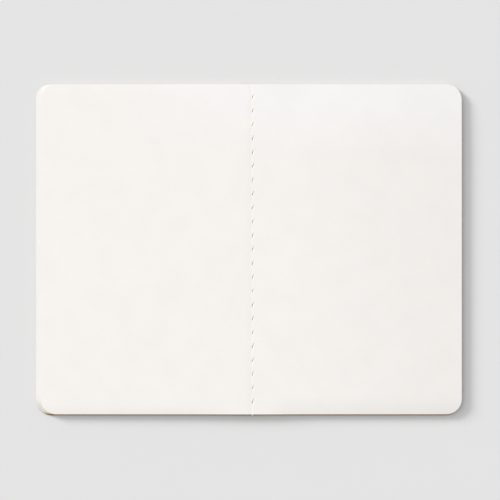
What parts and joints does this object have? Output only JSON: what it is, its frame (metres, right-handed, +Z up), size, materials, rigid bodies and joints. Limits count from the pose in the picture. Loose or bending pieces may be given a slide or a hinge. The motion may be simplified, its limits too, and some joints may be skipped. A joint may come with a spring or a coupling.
{
  "type": "sketchbook",
  "caption": "Thread-sewn pocket sketchbook with blank drawing paper and a kraft card cover, lying open and flat at its centre spread.",
  "frame": {"origin": "middle of the open book's footprint, on the surface that it lies on", "axes": "+X across the spread from the front-cover half to the back-cover half, +Y up the spine to the head, +Z up from the table"},
  "size_m": [0.18, 0.14, 0.003],
  "materials": {
    "kraft_card": "uncoated kraft card",
    "drawing_paper": "uncoated warm white",
    "sewing_thread": "matt twisted thread"
  },
  "bodies": {
    "binding": {"back_cover": "kraft_card", "cover_spine": "kraft_card", "sheet_01_fold": "drawing_paper", "sheet_02_fold": "drawing_paper", "sheet_03_fold": "drawing_paper", "sheet_04_fold": "drawing_paper", "sheet_05_fold": "drawing_paper", "sheet_06_fold": "drawing_paper", "sheet_07_fold": "drawing_paper", "sheet_08_fold": "drawing_paper", "sheet_09_fold": "drawing_paper", "sheet_10_fold": "drawing_paper", "sheet_11_fold": "drawing_paper", "sheet_12_fold": "drawing_paper", "inside_thread": "sewing_thread", "outside_thread": "sewing_thread"},
    "front_cover": {"front_cover": "kraft_card"},
    "left_leaf_01": {"sheet_01_left_leaf": "drawing_paper"},
    "left_leaf_02": {"sheet_02_left_leaf": "drawing_paper"},
    "left_leaf_03": {"sheet_03_left_leaf": "drawing_paper"},
    "left_leaf_04": {"sheet_04_left_leaf": "drawing_paper"},
    "left_leaf_05": {"sheet_05_left_leaf": "drawing_paper"},
    "left_leaf_06": {"sheet_06_left_leaf": "drawing_paper"},
    "left_leaf_07": {"sheet_07_left_leaf": "drawing_paper"},
    "left_leaf_08": {"sheet_08_left_leaf": "drawing_paper"},
    "left_leaf_09": {"sheet_09_left_leaf": "drawing_paper"},
    "left_leaf_10": {"sheet_10_left_leaf": "drawing_paper"},
    "left_leaf_11": {"sheet_11_left_leaf": "drawing_paper"},
    "left_leaf_12": {"sheet_12_left_leaf": "drawing_paper"},
    "right_leaf_01": {"sheet_01_right_leaf": "drawing_paper"},
    "right_leaf_02": {"sheet_02_right_leaf": "drawing_paper"},
    "right_leaf_03": {"sheet_03_right_leaf": "drawing_paper"},
    "right_leaf_04": {"sheet_04_right_leaf": "drawing_paper"},
    "right_leaf_05": {"sheet_05_right_leaf": "drawing_paper"},
    "right_leaf_06": {"sheet_06_right_leaf": "drawing_paper"},
    "right_leaf_07": {"sheet_07_right_leaf": "drawing_paper"},
    "right_leaf_08": {"sheet_08_right_leaf": "drawing_paper"},
    "right_leaf_09": {"sheet_09_right_leaf": "drawing_paper"},
    "right_leaf_10": {"sheet_10_right_leaf": "drawing_paper"},
    "right_leaf_11": {"sheet_11_right_leaf": "drawing_paper"},
    "right_leaf_12": {"sheet_12_right_leaf": "drawing_paper"}
  },
  "joints": [
    {"name": "front_cover_hinge", "type": "hinge", "parent": "binding", "child": "front_cover", "pos_m": [0, 0, 0.0028], "axis": [0, 1, 0], "range_deg": [0, 180]},
    {"name": "left_leaf_12_turn", "type": "hinge", "parent": "front_cover", "child": "left_leaf_12", "pos_m": [0.0016, 0, 0.0028], "axis": [0, 1, 0], "range_deg": [0, 180]},
    {"name": "left_leaf_11_turn", "type": "hinge", "parent": "left_leaf_12", "child": "left_leaf_11", "pos_m": [0.0016, 0, 0.0028], "axis": [0, 1, 0], "range_deg": [0, 180]},
    {"name": "left_leaf_10_turn", "type": "hinge", "parent": "left_leaf_11", "child": "left_leaf_10", "pos_m": [0.0016, 0, 0.0028], "axis": [0, 1, 0], "range_deg": [0, 180]},
    {"name": "left_leaf_09_turn", "type": "hinge", "parent": "left_leaf_10", "child": "left_leaf_09", "pos_m": [0.0016, 0, 0.0028], "axis": [0, 1, 0], "range_deg": [0, 180]},
    {"name": "left_leaf_08_turn", "type": "hinge", "parent": "left_leaf_09", "child": "left_leaf_08", "pos_m": [0.0016, 0, 0.0028], "axis": [0, 1, 0], "range_deg": [0, 180]},
    {"name": "left_leaf_07_turn", "type": "hinge", "parent": "left_leaf_08", "child": "left_leaf_07", "pos_m": [0.0016, 0, 0.0028], "axis": [0, 1, 0], "range_deg": [0, 180]},
    {"name": "left_leaf_06_turn", "type": "hinge", "parent": "left_leaf_07", "child": "left_leaf_06", "pos_m": [0.0016, 0, 0.0028], "axis": [0, 1, 0], "range_deg": [0, 180]},
    {"name": "left_leaf_05_turn", "type": "hinge", "parent": "left_leaf_06", "child": "left_leaf_05", "pos_m": [0.0016, 0, 0.0028], "axis": [0, 1, 0], "range_deg": [0, 180]},
    {"name": "left_leaf_04_turn", "type": "hinge", "parent": "left_leaf_05", "child": "left_leaf_04", "pos_m": [0.0016, 0, 0.0028], "axis": [0, 1, 0], "range_deg": [0, 180]},
    {"name": "left_leaf_03_turn", "type": "hinge", "parent": "left_leaf_04", "child": "left_leaf_03", "pos_m": [0.0016, 0, 0.0028], "axis": [0, 1, 0], "range_deg": [0, 180]},
    {"name": "left_leaf_02_turn", "type": "hinge", "parent": "left_leaf_03", "child": "left_leaf_02", "pos_m": [0.0016, 0, 0.0028], "axis": [0, 1, 0], "range_deg": [0, 180]},
    {"name": "left_leaf_01_turn", "type": "hinge", "parent": "left_leaf_02", "child": "left_leaf_01", "pos_m": [0.0016, 0, 0.0028], "axis": [0, 1, 0], "range_deg": [0, 180]},
    {"name": "right_leaf_12_turn", "type": "hinge", "parent": "binding", "child": "right_leaf_12", "pos_m": [0.0016, 0, 0.0028], "axis": [0, -1, 0], "range_deg": [0, 180]},
    {"name": "right_leaf_11_turn", "type": "hinge", "parent": "right_leaf_12", "child": "right_leaf_11", "pos_m": [0.0016, 0, 0.0028], "axis": [0, -1, 0], "range_deg": [0, 180]},
    {"name": "right_leaf_10_turn", "type": "hinge", "parent": "right_leaf_11", "child": "right_leaf_10", "pos_m": [0.0016, 0, 0.0028], "axis": [0, -1, 0], "range_deg": [0, 180]},
    {"name": "right_leaf_09_turn", "type": "hinge", "parent": "right_leaf_10", "child": "right_leaf_09", "pos_m": [0.0016, 0, 0.0028], "axis": [0, -1, 0], "range_deg": [0, 180]},
    {"name": "right_leaf_08_turn", "type": "hinge", "parent": "right_leaf_09", "child": "right_leaf_08", "pos_m": [0.0016, 0, 0.0028], "axis": [0, -1, 0], "range_deg": [0, 180]},
    {"name": "right_leaf_07_turn", "type": "hinge", "parent": "right_leaf_08", "child": "right_leaf_07", "pos_m": [0.0016, 0, 0.0028], "axis": [0, -1, 0], "range_deg": [0, 180]},
    {"name": "right_leaf_06_turn", "type": "hinge", "parent": "right_leaf_07", "child": "right_leaf_06", "pos_m": [0.0016, 0, 0.0028], "axis": [0, -1, 0], "range_deg": [0, 180]},
    {"name": "right_leaf_05_turn", "type": "hinge", "parent": "right_leaf_06", "child": "right_leaf_05", "pos_m": [0.0016, 0, 0.0028], "axis": [0, -1, 0], "range_deg": [0, 180]},
    {"name": "right_leaf_04_turn", "type": "hinge", "parent": "right_leaf_05", "child": "right_leaf_04", "pos_m": [0.0016, 0, 0.0028], "axis": [0, -1, 0], "range_deg": [0, 180]},
    {"name": "right_leaf_03_turn", "type": "hinge", "parent": "right_leaf_04", "child": "right_leaf_03", "pos_m": [0.0016, 0, 0.0028], "axis": [0, -1, 0], "range_deg": [0, 180]},
    {"name": "right_leaf_02_turn", "type": "hinge", "parent": "right_leaf_03", "child": "right_leaf_02", "pos_m": [0.0016, 0, 0.0028], "axis": [0, -1, 0], "range_deg": [0, 180]},
    {"name": "right_leaf_01_turn", "type": "hinge", "parent": "right_leaf_02", "child": "right_leaf_01", "pos_m": [0.0016, 0, 0.0028], "axis": [0, -1, 0], "range_deg": [0, 180]}
  ]
}
